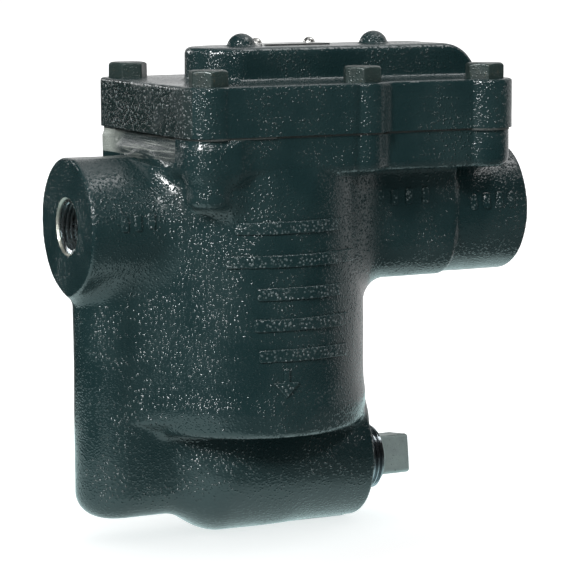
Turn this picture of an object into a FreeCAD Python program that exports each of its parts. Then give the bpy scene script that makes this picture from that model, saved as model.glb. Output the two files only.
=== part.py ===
"""Inverted bucket steam trap with a built-in strainer, side inlet and side outlet.

Units are millimetres. The origin is the centre of the inlet port's face, +X runs along the flow
from inlet to outlet, +Y is the back of the trap and +Z is up.
"""
import FreeCAD, Part
import math
import os

from FreeCAD import Vector

X = Vector(1, 0, 0)
Y = Vector(0, 1, 0)
Z = Vector(0, 0, 1)

# Ports: half-inch taper pipe threads, drawn as plain bores at the thread's inner radius
FACE_TO_FACE = 191.0
PORT_BOSS_R = 26.6
PORT_R = 9.2
PORT_MOUTH_R = 11.3
PORT_CHAMFER = 1.2
PORT_DEPTH = 19.0

# Bucket chamber
CHAMBER_X = 75.2
CHAMBER_R = 47.6
CHAMBER_BORE_R = 37.5
CHAMBER_BOTTOM = -81.4
CHAMBER_FLOOR = -75.0

# Inlet column
COLUMN_X = 19.2
COLUMN_R = 16.0
COLUMN_BOTTOM = -114.9
COLUMN_BORE_R = 8.5

# Strainer boss
STRAINER_Z = -97.8
STRAINER_R = 26.2
STRAINER_START = 48.4
STRAINER_END = 120.8
STRAINER_BORE_Z = -101.0
STRAINER_BORE_R = 15.0
SCREEN_SEAT_X = 38.0
SCREEN_R = 11.5
PLUG_HOLE_R = 13.38
PLUG_HOLE_START = 108.0
FOOT_HALF = 8.0

# Outlet block
BLOCK_END = 158.0
BLOCK_HALF = 27.2
BLOCK_BOTTOM = -26.1
DROP_X = 137.0
DROP_R = 10.0
PASSAGE_R = 8.2

# Joint between body and cap
FLANGE_BOTTOM = 19.7
BODY_TOP = 34.5
GASKET = 0.8
CAP_BOTTOM = BODY_TOP + GASKET
CAP_TOP = 54.6
CAP_LEFT = 31.5
CAP_RIGHT = 173.8
CAP_HALF = 48.7
BODY_INSET = 1.2
BOLT_XS = (42.6, 108.0, 162.8)
BOLT_Y = 38.7
LOBE_R = 10.0
LEFT_BOSS_BOTTOM = 8.6
BARS = ((74.0, 22.5, 0.5), (76.3, 28.0, -12.3), (78.0, 18.5, -24.9), (79.4, 21.0, -36.9), (79.9, 20.0, -48.7))
BAR_HALF = 2.4
NOTCH_X = 34.2

# Ridge on the cap
RIDGE_HALF = 17.2
RIDGE_LEFT_X = 69.0
RIDGE_NOSE_X = 157.0
RIDGE_END = 172.8
RIDGE_TOP = 67.6
PASSAGE_HALF = 11.0
PASSAGE_XS = (66.0, 137.0)
PASSAGE_ZS = (44.3, 60.0)
BUMP_XS = (74.8, 133.6)
BUMP_R = 5.9

# Cap screws, 3/8 inch
BOLT_R = 4.7
BOLT_HOLE_R = 4.76
BOLT_CLEARANCE_R = 5.2
BOLT_HEAD_AF = 13.9
BOLT_HEAD_H = 6.1
BOLT_END = 22.6
BOLT_TURNS = (-15.5, 20.0, -22.0, 27.0, -18.0, 12.0)

# Strainer plug, three-quarter-inch taper pipe thread
PLUG_CREST_R = 13.33
PLUG_ROOT_R = 12.3
PLUG_PITCH = 1.814
PLUG_START = 107.0
PLUG_THREAD_END = 131.4
PLUG_HEAD_X = 133.4
PLUG_END = 146.4
PLUG_SQUARE = 15.9
PLUG_RECESS_R = 11.65
PLUG_RECESS_END = 114.0

# Valve and lever, laid out in the closed position
FULCRUM_X = 55.5
FULCRUM_Z = 22.5
VALVE_X = 62.0
VALVE_R = 3.5
HOOK_X = 75.2
HOOK_Z = 23.95
HOOK_EYE_R = 1.7
OPEN_ANGLE = 10.0
SEAT_FACE = 28.5
ORIFICE_R = 2.0
PIN_R = 1.5
EAR_INNER = 5.0
EAR_THICK = 2.0

# Bucket, drawn at the bottom of its travel
BUCKET_R = 32.0
BUCKET_WALL = 1.2
BUCKET_TOP = 12.0
BUCKET_BOTTOM = -62.0
WIRE_R = 1.2
BAIL_HALF = 6.5


def cylinder(radius, start, end, axis, at=Vector(0, 0, 0)):
    """Cylinder along axis between two positions on it, moved sideways by at."""
    return Part.makeCylinder(radius, end - start, at + axis * start, axis)


def box(x0, x1, y0, y1, z0, z1):
    return Part.makeBox(x1 - x0, y1 - y0, z1 - z0, Vector(x0, y0, z0))


def fuse(shapes):
    return shapes[0].multiFuse(shapes[1:]).removeSplitter()


def slot(x0, x1, radius, z0, z1):
    """Upright prism with round ends centred at x0 and x1."""
    ends = [cylinder(radius, z0, z1, Z, Vector(x, 0, 0)) for x in (x0, x1)]
    return fuse([box(x0, x1, -radius, radius, z0, z1)] + ends)


def prism(points, normal, length):
    """Closed polygon of points extruded along normal."""
    face = Part.Face(Part.makePolygon(list(points) + [points[0]]))
    return face.extrude(normal * length)


def revolve_x(profile, turn=360):
    """Solid of revolution about X from (x, radius) pairs."""
    points = [Vector(x, 0, r) for x, r in profile]
    face = Part.Face(Part.makePolygon(points + [points[0]]))
    return face.revolve(Vector(0, 0, 0), X, turn)


def edges_where(shape, test):
    """Edges whose vertices and middle all pass a test."""
    found = []
    for edge in shape.Edges:
        low, high = edge.ParameterRange
        points = [edge.valueAt(low + (high - low) * k / 4) for k in range(5)]
        if all(test(p) for p in points):
            found.append(edge)
    return found


def is_level_across(edge):
    """True for a straight edge that runs along Y."""
    return edge.BoundBox.XLength < 0.01 and edge.BoundBox.ZLength < 0.01


def bolt_points():
    return [Vector(x, y, 0) for x in BOLT_XS for y in (-BOLT_Y, BOLT_Y)]


def flange_outline(inset, z0, z1):
    """Lobed flange: flat ends, full width at the chamber, stepped in beside the outlet block."""
    left = CAP_LEFT + inset
    right = CAP_RIGHT - inset
    wide = CAP_HALF - 0.8 - inset
    narrow = CAP_HALF - 4.2 - inset
    first, middle, last = BOLT_XS
    parts = [
        box(left + LOBE_R, middle, -wide, wide, z0, z1),
        box(middle, right - LOBE_R, -narrow, narrow, z0, z1),
        box(left, right, -BOLT_Y, BOLT_Y, z0, z1),
        box(first, first + 24, -CAP_HALF + inset, CAP_HALF - inset, z0, z1),
    ]
    for x in (left + LOBE_R, middle, right - LOBE_R):
        for y in (-BOLT_Y, BOLT_Y):
            parts.append(cylinder(LOBE_R - inset * (x == middle), z0, z1, Z, Vector(x, y, 0)))
    for y in (-BOLT_Y, BOLT_Y):
        parts.append(cylinder(LOBE_R - inset, z0, z1, Z, Vector(first, y, 0)))
        parts.append(cylinder(LOBE_R - inset, z0, z1, Z, Vector(last, y, 0)))
    return fuse(parts)


def chamber():
    """Round bucket chamber with a rounded bottom edge."""
    barrel = cylinder(CHAMBER_R, CHAMBER_BOTTOM, FLANGE_BOTTOM + 1, Z, Vector(CHAMBER_X, 0, 0))
    rim = edges_where(barrel, lambda p: abs(p.z - CHAMBER_BOTTOM) < 0.01)
    return barrel.makeFillet(5.5, rim)


def inlet_column():
    """Passage column under the inlet, blended in plan into the chamber's round wall."""
    low = CHAMBER_BOTTOM + 5.5
    plan = fuse([
        cylinder(CHAMBER_R, low, 5, Z, Vector(CHAMBER_X, 0, 0)),
        slot(COLUMN_X, CHAMBER_X, COLUMN_R, low, 5),
    ])
    corners = edges_where(plan, lambda p: abs(abs(p.y) - COLUMN_R) < 0.01 and 29 < p.x < 32)
    return plan.makeFillet(12, corners)


def column_foot():
    """Lower end of the column, running into the strainer boss."""
    foot = slot(COLUMN_X, 62, COLUMN_R, COLUMN_BOTTOM, CHAMBER_BOTTOM + 8)
    rim = edges_where(foot, lambda p: abs(p.z - COLUMN_BOTTOM) < 0.01)
    return foot.makeFillet(10, rim)


def strainer_boss():
    boss = cylinder(STRAINER_R, STRAINER_START, STRAINER_END, X, Vector(0, 0, STRAINER_Z))
    start = edges_where(boss, lambda p: abs(p.x - STRAINER_START) < 0.01)
    boss = boss.makeFillet(12, start)
    end = edges_where(boss, lambda p: abs(p.x - STRAINER_END) < 0.01)
    boss = boss.makeFillet(1.4, end)
    bottom = STRAINER_Z - STRAINER_R
    foot = box(56, STRAINER_END - 3, -FOOT_HALF, FOOT_HALF, bottom, bottom + 6)
    foot = foot.makeFillet(3, edges_where(foot, lambda p: abs(p.y) > 7.9 and p.x in (56, 117.8)))
    return boss.fuse(foot)


def outlet_block():
    block = box(CHAMBER_X, BLOCK_END, -BLOCK_HALF, BLOCK_HALF, BLOCK_BOTTOM, FLANGE_BOTTOM + 1)
    keel = edges_where(block, lambda p: abs(p.z - BLOCK_BOTTOM) < 0.01 and abs(abs(p.y) - BLOCK_HALF) < 0.01)
    block = block.makeFillet(18, keel)
    end = edges_where(block, lambda p: abs(p.x - BLOCK_END) < 0.01 and p.z < FLANGE_BOTTOM + 0.9)
    return block.makeFillet(3, end)


def port_boss(face_x, inner_x):
    """Round boss for a pipe port, with a small round at its face."""
    low, high = sorted((face_x, inner_x))
    boss = cylinder(PORT_BOSS_R, low, high, X)
    rim = edges_where(boss, lambda p: abs(p.x - face_x) < 0.01)
    return boss.makeFillet(0.8, rim)


def port_cutter(face_x, inward):
    """Bore and chamfer of a port, cut inward from its face."""
    steps = [
        (face_x - inward, 0),
        (face_x - inward, PORT_MOUTH_R),
        (face_x, PORT_MOUTH_R),
        (face_x + inward * PORT_CHAMFER, PORT_R),
        (face_x + inward * PORT_DEPTH, PORT_R),
        (face_x + inward * PORT_DEPTH, 0),
    ]
    return revolve_x(steps)


def left_bolt_bosses():
    bosses = []
    for y in (-BOLT_Y, BOLT_Y):
        boss = cylinder(LOBE_R - BODY_INSET, LEFT_BOSS_BOTTOM, BODY_TOP, Z, Vector(BOLT_XS[0], y, 0))
        end = edges_where(boss, lambda p: abs(p.z - LEFT_BOSS_BOTTOM) < 0.01)
        bosses.append(boss.makeFillet(7, end))
    return bosses


def body_flange():
    flange = flange_outline(BODY_INSET, FLANGE_BOTTOM, BODY_TOP)
    rim = edges_where(flange, lambda p: abs(p.z - FLANGE_BOTTOM) < 0.01)
    return flange.makeFillet(3.5, rim)


def relief():
    """Raised arrow and blank bars on the front of the chamber."""
    marks = [
        prism([Vector(70.6, -60, -65.5), Vector(64.8, -60, -59.0), Vector(76.4, -60, -59.0)], Y, 20),
        box(69.4, 71.8, -60, -40, -60, -54.0),
    ]
    for middle, half, height in BARS:
        marks.append(box(middle - half, middle + half, -60, -30, height - BAR_HALF, height + BAR_HALF))
    skin = cylinder(CHAMBER_R + 0.8, -67, 5, Z, Vector(CHAMBER_X, 0, 0))
    core = cylinder(CHAMBER_R - 1, -68, 6, Z, Vector(CHAMBER_X, 0, 0))
    return fuse(marks).common(skin.cut(core))


def body_bores():
    """Everything that is cut out of the body casting."""
    along = Vector(0, 0, STRAINER_BORE_Z)
    cuts = [
        cylinder(CHAMBER_BORE_R, CHAMBER_FLOOR, BODY_TOP + 1, Z, Vector(CHAMBER_X, 0, 0)),
        port_cutter(0, 1),
        port_cutter(FACE_TO_FACE, -1),
        cylinder(COLUMN_BORE_R, STRAINER_BORE_Z - COLUMN_BORE_R, 0, Z, Vector(COLUMN_X, 0, 0)),
        cylinder(COLUMN_BORE_R, COLUMN_X, SCREEN_SEAT_X + 1, X, along),
        cylinder(SCREEN_R + 0.15, SCREEN_SEAT_X, STRAINER_START + 1, X, along),
        cylinder(STRAINER_BORE_R, STRAINER_START, PLUG_HOLE_START, X, along),
        cylinder(PLUG_HOLE_R, PLUG_HOLE_START - 1, STRAINER_END + 1, X, along),
        cylinder(7.05, STRAINER_BORE_Z, CHAMBER_FLOOR + 1, Z, Vector(CHAMBER_X, 0, 0)),
        cylinder(DROP_R, -PORT_R, BODY_TOP + 1, Z, Vector(DROP_X, 0, 0)),
        cylinder(PASSAGE_R, DROP_X, FACE_TO_FACE - PORT_DEPTH + 1, X),
    ]
    for point in bolt_points():
        cuts.append(cylinder(BOLT_HOLE_R, BOLT_END - 0.8, BODY_TOP + 1, Z, point))
    return cuts


def body():
    solid = fuse([
        chamber(),
        inlet_column(),
        column_foot(),
        strainer_boss(),
        outlet_block(),
        port_boss(0, 40),
        port_boss(FACE_TO_FACE, 150),
        body_flange(),
        relief(),
    ] + left_bolt_bosses())
    solid = solid.cut(box(CAP_LEFT - 2, NOTCH_X, -29, 29, PORT_BOSS_R, BODY_TOP + 1))
    return solid.cut(Part.makeCompound(body_bores()))


def ridge():
    """Raised passage cover with a round left end and a rounded-down nose."""
    low = CAP_TOP - 4
    plan = fuse([
        cylinder(RIDGE_HALF, low, RIDGE_TOP, Z, Vector(RIDGE_LEFT_X, 0, 0)),
        box(RIDGE_LEFT_X, RIDGE_END, -RIDGE_HALF, RIDGE_HALF, low, RIDGE_TOP),
    ])
    height = RIDGE_TOP - CAP_TOP
    reach = RIDGE_END - RIDGE_NOSE_X
    bend_r = (reach ** 2 + height ** 2) / (2 * height)
    bend = cylinder(bend_r, -30, 30, Y, Vector(RIDGE_NOSE_X, 0, RIDGE_TOP - bend_r))
    keep = box(40, RIDGE_NOSE_X, -30, 30, low, RIDGE_TOP).fuse(bend)
    solid = plan.common(keep).removeSplitter()
    rim = edges_where(solid, lambda p: p.z > CAP_TOP - 0.1 and abs(p.y) < RIDGE_HALF + 0.1)
    rim = [edge for edge in rim if edge.Length > 20 and not is_level_across(edge)]
    return solid.makeFillet(3, rim)


def cap():
    plate = flange_outline(0, CAP_BOTTOM, CAP_TOP)
    rim = edges_where(plate, lambda p: abs(p.z - CAP_TOP) < 0.01)
    plate = plate.makeFillet(0.9, rim)
    bumps = [Part.makeSphere(BUMP_R, Vector(x, 0, RIDGE_TOP - 0.8)) for x in BUMP_XS]
    solid = fuse([plate, ridge()] + bumps)
    low, high = PASSAGE_ZS
    cuts = [
        slot(PASSAGE_XS[0], PASSAGE_XS[1], PASSAGE_HALF, low, high),
        cylinder(DROP_R, CAP_BOTTOM - 1, low + 1, Z, Vector(DROP_X, 0, 0)),
        cylinder(5.53, CAP_BOTTOM - 1, low + 1, Z, Vector(VALVE_X, 0, 0)),
    ]
    for point in bolt_points():
        cuts.append(cylinder(BOLT_CLEARANCE_R, CAP_BOTTOM - 1, CAP_TOP + 1, Z, point))
    for x, y in bracket_screw_points():
        cuts.append(cylinder(1.53, CAP_BOTTOM - 1, CAP_BOTTOM + 6.4, Z, Vector(x, y, 0)))
    for x, y in nameplate_points():
        cuts.append(cylinder(1.03, RIDGE_TOP - 4, RIDGE_TOP + 1, Z, Vector(x, y, 0)))
    return solid.cut(Part.makeCompound(cuts))


def cap_gasket():
    sheet = flange_outline(BODY_INSET, BODY_TOP, CAP_BOTTOM)
    sheet = sheet.cut(box(CAP_LEFT - 2, NOTCH_X + 0.3, -28.6, 28.6, BODY_TOP - 1, CAP_BOTTOM + 1))
    holes = [
        cylinder(CHAMBER_BORE_R + 0.4, BODY_TOP - 1, CAP_BOTTOM + 1, Z, Vector(CHAMBER_X, 0, 0)),
        cylinder(DROP_R + 0.4, BODY_TOP - 1, CAP_BOTTOM + 1, Z, Vector(DROP_X, 0, 0)),
    ]
    for point in bolt_points():
        holes.append(cylinder(BOLT_CLEARANCE_R, BODY_TOP - 1, CAP_BOTTOM + 1, Z, point))
    return sheet.cut(Part.makeCompound(holes))


def hexagon(across_flats, z0, z1, at, turn):
    """Upright hexagonal prism, its flats turned from facing X by turn degrees."""
    corner_r = across_flats / math.sqrt(3)
    points = []
    for k in range(6):
        a = math.radians(turn + 30 + 60 * k)
        points.append(Vector(at.x + corner_r * math.cos(a), at.y + corner_r * math.sin(a), z0))
    return prism(points, Z, z1 - z0)


def crowned(head, corner_r, z0, z1, at):
    """Hexagon with its top corners turned off to a cone."""
    profile = [
        Vector(0, 0, z0),
        Vector(corner_r + 1, 0, z0),
        Vector(corner_r + 1, 0, z1 - 1.55),
        Vector(corner_r - 1.7, 0, z1),
        Vector(0, 0, z1),
    ]
    turned = Part.Face(Part.makePolygon(profile + [profile[0]])).revolve(Vector(0, 0, 0), Z, 360)
    turned.translate(Vector(at.x, at.y, 0))
    return head.common(turned)


def cap_bolt(at, turn):
    top = CAP_TOP + BOLT_HEAD_H
    head = crowned(hexagon(BOLT_HEAD_AF, CAP_TOP, top, at, turn), BOLT_HEAD_AF / math.sqrt(3), CAP_TOP, top, at)
    shank = cylinder(BOLT_R, BOLT_END, CAP_TOP + 0.5, Z, at)
    tip = edges_where(shank, lambda p: abs(p.z - BOLT_END) < 0.01)
    return head.fuse(shank.makeChamfer(0.8, tip)).removeSplitter()


def cap_bolts():
    return Part.makeCompound([cap_bolt(p, t) for p, t in zip(bolt_points(), BOLT_TURNS)])


def nameplate_points():
    return [(86.6, 11.4), (110.4, 11.4)]


def nameplate():
    plate = box(83.2, 113.8, -1.5, 14.1, RIDGE_TOP, RIDGE_TOP + 0.6)
    corners = edges_where(plate, lambda p: p.x in (83.2, 113.8) and abs(p.y - 6.3) > 7.7)
    plate = plate.makeFillet(1.5, [edge for edge in corners if edge.Length < 0.7])
    for x, y in nameplate_points():
        plate = plate.cut(cylinder(1.1, RIDGE_TOP - 1, RIDGE_TOP + 2, Z, Vector(x, y, 0)))
    return plate


def nameplate_screws():
    screws = []
    for x, y in nameplate_points():
        low = RIDGE_TOP + 0.6
        dome = Part.makeSphere(2.4, Vector(x, y, low - 0.3))
        dome = dome.common(box(x - 3, x + 3, y - 3, y + 3, low, low + 3))
        screws.append(dome.fuse(cylinder(1.0, RIDGE_TOP - 3.6, low + 0.4, Z, Vector(x, y, 0))))
    return Part.makeCompound(screws)


def strainer_plug():
    """Pipe plug with thread ridges, a square head and a recess that holds the screen."""
    profile = [(PLUG_START, 0), (PLUG_START, PLUG_ROOT_R)]
    x = PLUG_START + 0.3
    while x + PLUG_PITCH < PLUG_THREAD_END:
        profile.append((x, PLUG_ROOT_R))
        profile.append((x + PLUG_PITCH * 0.44, PLUG_CREST_R))
        profile.append((x + PLUG_PITCH * 0.56, PLUG_CREST_R))
        x += PLUG_PITCH
    profile.append((x, PLUG_ROOT_R))
    profile.append((PLUG_HEAD_X - 1.2, PLUG_ROOT_R))
    profile.append((PLUG_HEAD_X, PLUG_ROOT_R - 1.4))
    profile.append((PLUG_HEAD_X, 0))
    thread = revolve_x(profile)
    half = PLUG_SQUARE / 2
    head = box(PLUG_HEAD_X - 1, PLUG_END, -half, half, -half, half)
    sides = edges_where(head, lambda p: abs(abs(p.y) - half) < 0.01 and abs(abs(p.z) - half) < 0.01)
    head = head.makeFillet(1.8, sides)
    end = edges_where(head, lambda p: abs(p.x - PLUG_END) < 0.01)
    head = head.makeFillet(1.2, end)
    head.rotate(Vector(0, 0, 0), X, -7)
    plug = thread.fuse(head)
    plug = plug.cut(cylinder(PLUG_RECESS_R, PLUG_START - 1, PLUG_RECESS_END, X))
    plug.translate(Vector(0, 0, STRAINER_BORE_Z))
    return plug.removeSplitter()


def strainer_screen():
    """Perforated tube from the column's seat to the plug's recess."""
    along = Vector(0, 0, STRAINER_BORE_Z)
    tube = cylinder(SCREEN_R, SCREEN_SEAT_X, PLUG_RECESS_END, X, along)
    tube = tube.cut(cylinder(SCREEN_R - 0.8, SCREEN_SEAT_X - 1, PLUG_RECESS_END + 1, X, along))
    holes = []
    for ring in range(9):
        for k in range(6):
            a = math.radians(60 * k + 30 * (ring % 2))
            out = Vector(0, math.cos(a), math.sin(a))
            centre = Vector(52 + 6.2 * ring, 0, STRAINER_BORE_Z)
            holes.append(Part.makeCylinder(1.6, SCREEN_R + 2, centre, out))
    return tube.cut(Part.makeCompound(holes))


def inlet_tube():
    """Standpipe from the strainer space up into the bucket, with a hexagon to screw it down."""
    at = Vector(CHAMBER_X, 0, 0)
    pipe = cylinder(7.0, CHAMBER_FLOOR - 4.6, -30, Z, at)
    collar = hexagon(19.0, CHAMBER_FLOOR, CHAMBER_FLOOR + 6, at, 0)
    return pipe.fuse(collar).cut(cylinder(5.4, CHAMBER_FLOOR - 5, -29, Z, at)).removeSplitter()


def valve_seat():
    """Hexagon seat screwed up into the cap, orifice facing down."""
    at = Vector(VALVE_X, 0, 0)
    parts = [
        cylinder(5.5, CAP_BOTTOM - GASKET, PASSAGE_ZS[0], Z, at),
        hexagon(14.0, SEAT_FACE + 1.5, CAP_BOTTOM - GASKET, at, 30),
        cylinder(3.3, SEAT_FACE, SEAT_FACE + 2, Z, at),
    ]
    bores = [
        cylinder(ORIFICE_R, SEAT_FACE - 1, PASSAGE_ZS[0] + 1, Z, at),
        cylinder(3.4, SEAT_FACE + 5, PASSAGE_ZS[0] + 1, Z, at),
    ]
    return fuse(parts).cut(fuse(bores))


def seat_gasket():
    at = Vector(VALVE_X, 0, 0)
    ring = cylinder(6.9, CAP_BOTTOM - GASKET, CAP_BOTTOM, Z, at)
    return ring.cut(cylinder(5.6, CAP_BOTTOM - 2, CAP_BOTTOM + 1, Z, at))


def bracket_screw_points():
    return [(43.4, -6.0), (43.4, 6.0)]


def lever_bracket():
    """Folded bracket: a base plate under the cap and two ears that carry the pin."""
    under = CAP_BOTTOM - 2.0
    outer = EAR_INNER + EAR_THICK
    parts = [box(40.2, 53.0, -10, 10, under, CAP_BOTTOM)]
    side = [
        Vector(47.2, 0, CAP_BOTTOM),
        Vector(53.0, 0, CAP_BOTTOM),
        Vector(53.0, 0, 29.0),
        Vector(58.7, 0, 26.0),
        Vector(58.7, 0, 19.2),
        Vector(52.3, 0, 19.2),
        Vector(47.2, 0, 30.0),
    ]
    for y in (-outer, EAR_INNER):
        ear = prism(side, Y, EAR_THICK)
        ear.translate(Vector(0, y, 0))
        parts.append(ear)
    holes = [cylinder(PIN_R + 0.02, -12, 12, Y, Vector(FULCRUM_X, 0, FULCRUM_Z))]
    for x, y in bracket_screw_points():
        holes.append(cylinder(1.7, under - 1, CAP_BOTTOM + 1, Z, Vector(x, y, 0)))
    return fuse(parts).cut(Part.makeCompound(holes))


def bracket_screws():
    screws = []
    under = CAP_BOTTOM - 2.0
    for x, y in bracket_screw_points():
        at = Vector(x, y, 0)
        head = cylinder(3.0, under - 2.2, under, Z, at)
        head = head.makeFillet(0.8, edges_where(head, lambda p: p.z < under - 2.1))
        head = head.cut(box(x - 3.5, x + 3.5, y - 0.4, y + 0.4, under - 2.3, under - 1.2))
        screws.append(head.fuse(cylinder(1.5, under - 0.5, CAP_BOTTOM + 6, Z, at)))
    return Part.makeCompound(screws)


def fulcrum_pin():
    outer = EAR_INNER + EAR_THICK
    at = Vector(FULCRUM_X, 0, FULCRUM_Z)
    pin = cylinder(PIN_R, -outer - 0.3, outer + 2.4, Y, at)
    head = cylinder(2.5, -outer - 1.5, -outer, Y, at)
    head = head.makeFillet(0.5, edges_where(head, lambda p: p.y < -outer - 1.4))
    groove = cylinder(2.5, outer + 0.1, outer + 1.1, Y, at)
    groove = groove.cut(cylinder(1.1, outer, outer + 2, Y, at))
    return pin.fuse(head).cut(groove)


def pin_retainer():
    """Open spring ring in the pin's groove."""
    outer = EAR_INNER + EAR_THICK
    at = Vector(FULCRUM_X, 0, FULCRUM_Z)
    ring = cylinder(3.0, outer + 0.2, outer + 1.0, Y, at)
    ring = ring.cut(cylinder(1.12, outer, outer + 2, Y, at))
    gap = box(FULCRUM_X - 0.9, FULCRUM_X + 0.9, outer, outer + 2, FULCRUM_Z - 4, FULCRUM_Z)
    return ring.cut(gap)


def opened(shape):
    """Turn a part from the closed to the open position of the lever."""
    shape.rotate(Vector(FULCRUM_X, 0, FULCRUM_Z), Y, OPEN_ANGLE)
    return shape


def lever_arm():
    """Lever with a knuckle on the pin, an eye for the valve's stem and an open hook."""
    half = EAR_INNER - 0.5
    bar = box(FULCRUM_X, HOOK_X - 2.4, -3.5, 3.5, FULCRUM_Z - 1.25, FULCRUM_Z + 1.25)
    knuckle = cylinder(3.2, -half, half, Y, Vector(FULCRUM_X, 0, FULCRUM_Z))
    hook = cylinder(4.0, -3.5, 3.5, Y, Vector(HOOK_X, 0, HOOK_Z))
    arm = fuse([bar, knuckle, hook])
    mouth = box(0, 6, -4, 4, -HOOK_EYE_R + 0.2, HOOK_EYE_R - 0.2)
    mouth.rotate(Vector(0, 0, 0), Y, -50)
    mouth.translate(Vector(HOOK_X, 0, HOOK_Z))
    holes = [
        cylinder(PIN_R + 0.06, -6, 6, Y, Vector(FULCRUM_X, 0, FULCRUM_Z)),
        cylinder(HOOK_EYE_R, -4, 4, Y, Vector(HOOK_X, 0, HOOK_Z)),
        cylinder(1.5, FULCRUM_Z - 2, FULCRUM_Z + 2, Z, Vector(VALVE_X, 0, 0)),
        mouth,
    ]
    return opened(arm.cut(Part.makeCompound(holes)))


def valve_head():
    """Ball on a short stem, riveted through the lever."""
    at = Vector(VALVE_X, 0, 0)
    centre_z = SEAT_FACE - math.sqrt(VALVE_R ** 2 - ORIFICE_R ** 2) - 0.05
    ball = Part.makeSphere(VALVE_R, Vector(VALVE_X, 0, centre_z))
    top = FULCRUM_Z + 1.25
    ball = ball.common(box(VALVE_X - 4, VALVE_X + 4, -4, 4, top, top + 8))
    stem = cylinder(1.45, FULCRUM_Z - 1.8, top + 1, Z, at)
    rivet = cylinder(2.4, FULCRUM_Z - 2.35, FULCRUM_Z - 1.25, Z, at)
    rivet = rivet.makeFillet(0.6, edges_where(rivet, lambda p: p.z < FULCRUM_Z - 2.3))
    return opened(fuse([ball, stem, rivet]))


def bucket():
    """Inverted cup with a rounded crown, a vent hole and a turned-in rim."""
    at = Vector(CHAMBER_X, 0, 0)
    outer = cylinder(BUCKET_R, BUCKET_BOTTOM, BUCKET_TOP, Z, at)
    outer = outer.makeFillet(6, edges_where(outer, lambda p: p.z > BUCKET_TOP - 0.01))
    inner_r = BUCKET_R - BUCKET_WALL
    inner_top = BUCKET_TOP - BUCKET_WALL
    inner = cylinder(inner_r, BUCKET_BOTTOM + 1.2, inner_top, Z, at)
    inner = inner.makeFillet(4.8, edges_where(inner, lambda p: p.z > inner_top - 0.01))
    mouth = cylinder(inner_r - 2.5, BUCKET_BOTTOM - 1, BUCKET_BOTTOM + 2, Z, at)
    vent = cylinder(1.1, 0, BUCKET_TOP + 1, Z, Vector(CHAMBER_X + 17, 0, 0))
    cup = outer.cut(inner).cut(mouth).cut(vent)
    holes = [cylinder(1.32, 0, BUCKET_TOP + 1, Z, p) for p in rivet_points()]
    legs = [cylinder(WIRE_R, 0, BUCKET_TOP + 1, Z, p) for p in bail_feet()]
    return cup.cut(Part.makeCompound(holes + legs))


def bail_feet():
    return [Vector(CHAMBER_X - 0.05, y, 0) for y in (-BAIL_HALF, BAIL_HALF)]


def rivet_points():
    return [Vector(CHAMBER_X + x, 0, 0) for x in (-9.0, 9.0)]


def bucket_clip():
    """Stiffening plate riveted on the crown, with holes for the bail's feet."""
    plate = box(CHAMBER_X - 12, CHAMBER_X + 12, -10, 10, BUCKET_TOP, BUCKET_TOP + 1.2)
    corners = edges_where(plate, lambda p: abs(p.x - CHAMBER_X) > 11.9 and abs(p.y) > 9.9)
    plate = plate.makeFillet(3, corners)
    holes = [cylinder(1.32, 0, BUCKET_TOP + 3, Z, p) for p in rivet_points()]
    holes += [cylinder(WIRE_R, 0, BUCKET_TOP + 3, Z, p) for p in bail_feet()]
    return plate.cut(Part.makeCompound(holes))


def clip_rivets():
    rivets = []
    for p in rivet_points():
        shank = cylinder(1.3, BUCKET_TOP - BUCKET_WALL - 0.3, BUCKET_TOP + 1.5, Z, p)
        top = cylinder(2.3, BUCKET_TOP + 1.2, BUCKET_TOP + 2.2, Z, p)
        top = top.makeFillet(0.6, edges_where(top, lambda q: q.z > BUCKET_TOP + 2.1))
        low = BUCKET_TOP - BUCKET_WALL
        bottom = cylinder(2.3, low - 1.0, low, Z, p)
        bottom = bottom.makeFillet(0.6, edges_where(bottom, lambda q: q.z < low - 0.9))
        rivets.append(fuse([shank, top, bottom]))
    return Part.makeCompound(rivets)


def bucket_bail():
    """Wire loop whose top bar lies in the lever's hook."""
    hook = Vector(HOOK_X, 0, HOOK_Z)
    pivot = Vector(FULCRUM_X, 0, FULCRUM_Z)
    angle = math.radians(OPEN_ANGLE)
    reach = hook - pivot
    bar_z = pivot.z + reach.z * math.cos(angle) - reach.x * math.sin(angle) - 0.35
    x = CHAMBER_X - 0.05
    bend = 2.0
    low = BUCKET_TOP - BUCKET_WALL - 0.8
    half = BAIL_HALF
    c = math.sqrt(0.5) * bend
    left_mid = Vector(x, -half + bend - c, bar_z - bend + c)
    right_mid = Vector(x, half - bend + c, bar_z - bend + c)
    path = Part.Wire([
        Part.makeLine(Vector(x, -half, low), Vector(x, -half, bar_z - bend)),
        Part.Arc(Vector(x, -half, bar_z - bend), left_mid, Vector(x, -half + bend, bar_z)).toShape(),
        Part.makeLine(Vector(x, -half + bend, bar_z), Vector(x, half - bend, bar_z)),
        Part.Arc(Vector(x, half - bend, bar_z), right_mid, Vector(x, half, bar_z - bend)).toShape(),
        Part.makeLine(Vector(x, half, bar_z - bend), Vector(x, half, low)),
    ])
    ring = Part.Wire(Part.makeCircle(WIRE_R, Vector(x, -half, low), Z))
    return path.makePipeShell([ring], True, False)


def bucket_weight():
    at = Vector(CHAMBER_X, 0, 0)
    inner_r = BUCKET_R - BUCKET_WALL
    ring = cylinder(inner_r - 0.05, BUCKET_BOTTOM + 1.2, BUCKET_BOTTOM + 11, Z, at)
    return ring.cut(cylinder(inner_r - 5, BUCKET_BOTTOM, BUCKET_BOTTOM + 12, Z, at))


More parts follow.
